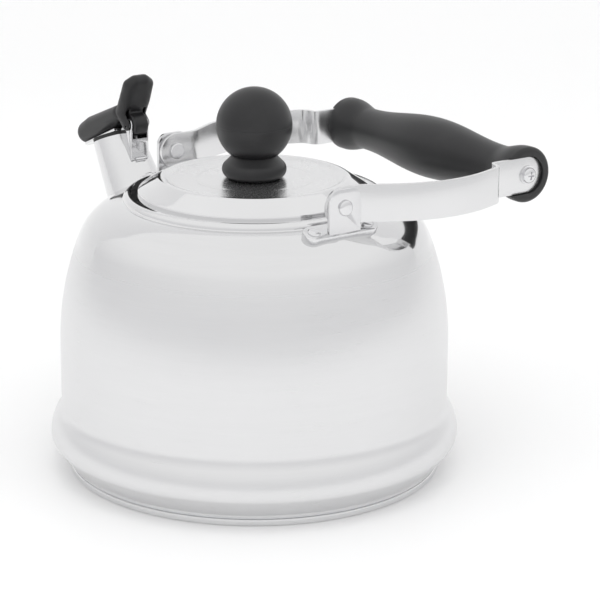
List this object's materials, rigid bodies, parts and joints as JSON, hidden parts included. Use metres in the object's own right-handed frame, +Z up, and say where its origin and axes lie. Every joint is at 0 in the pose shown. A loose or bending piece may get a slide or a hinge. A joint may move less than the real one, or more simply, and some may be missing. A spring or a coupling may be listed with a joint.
{
  "type": "stovetop whistling kettle",
  "caption": "Stainless stovetop kettle with a capsule base, an angled spout under a spring-shut whistle, a lift-off knobbed lid and a bail handle that folds to one side.",
  "frame": {"origin": "centre of the base's underside, on the table", "axes": "+Z up through the lid knob, +Y towards the spout's mouth, +X towards the folded handle's grip"},
  "size_m": [0.2372, 0.2674, 0.1963],
  "materials": {
    "brushed_body": "satin stainless steel, brushed round the body",
    "polished_steel": "mirror-polished stainless steel",
    "hardware_steel": "bright steel fasteners, pins and spring",
    "core_aluminium": "plain pressed aluminium, hidden inside the base",
    "black_plastic": "black phenolic plastic, fine satin grain",
    "black_rubber": "black silicone seal",
    "insert_brass": "turned brass threaded inserts"
  },
  "bodies": {
    "kettle": {"base_capsule": "brushed_body", "base_core": "core_aluminium", "body_shell": "brushed_body", "spout_tube": "polished_steel", "whistle_bracket": "polished_steel", "whistle_bracket_weld": "polished_steel", "handle_bracket_front": "polished_steel", "handle_bracket_rear": "polished_steel", "bracket_rivets_front": "polished_steel", "bracket_rivets_rear": "polished_steel", "pivot_rivet_front": "hardware_steel", "pivot_rivet_rear": "hardware_steel", "pivot_washer_front": "hardware_steel", "pivot_washer_rear": "hardware_steel", "whistle_hinge_pin": "hardware_steel", "whistle_spring": "hardware_steel"},
    "handle": {"handle_arm_front": "polished_steel", "handle_arm_rear": "polished_steel", "handle_grip": "black_plastic", "grip_insert_front": "insert_brass", "grip_insert_rear": "insert_brass", "grip_washer_front": "hardware_steel", "grip_washer_rear": "hardware_steel", "grip_screw_front": "hardware_steel", "grip_screw_rear": "hardware_steel"},
    "lid": {"lid_shell": "polished_steel", "lid_skirt": "brushed_body", "knob_collar": "black_plastic", "knob_ball": "black_plastic", "knob_insert": "insert_brass", "knob_washer": "hardware_steel", "knob_screw": "hardware_steel"},
    "whistle": {"whistle_lever": "black_plastic", "whistle_plate": "polished_steel", "whistle_seal": "black_rubber", "whistle_disc": "polished_steel", "whistle_plate_screws": "hardware_steel"}
  },
  "joints": [
    {"name": "handle_swing", "type": "hinge", "parent": "kettle", "child": "handle", "pos_m": [0, 0, 0.15009], "axis": [0, -1, 0], "range_deg": [0, 90]},
    {"name": "whistle_flip", "type": "hinge", "parent": "kettle", "child": "whistle", "pos_m": [0, 0.11107, 0.15738], "axis": [1, 0, 0], "range_deg": [0, 38], "stiffness_Nm_per_rad": 0.08, "springref_deg": -22.92},
    {"name": "lid_lift", "type": "slide", "parent": "kettle", "child": "lid", "axis": [0, 0, 1], "range_m": [0, 0.028]}
  ]
}
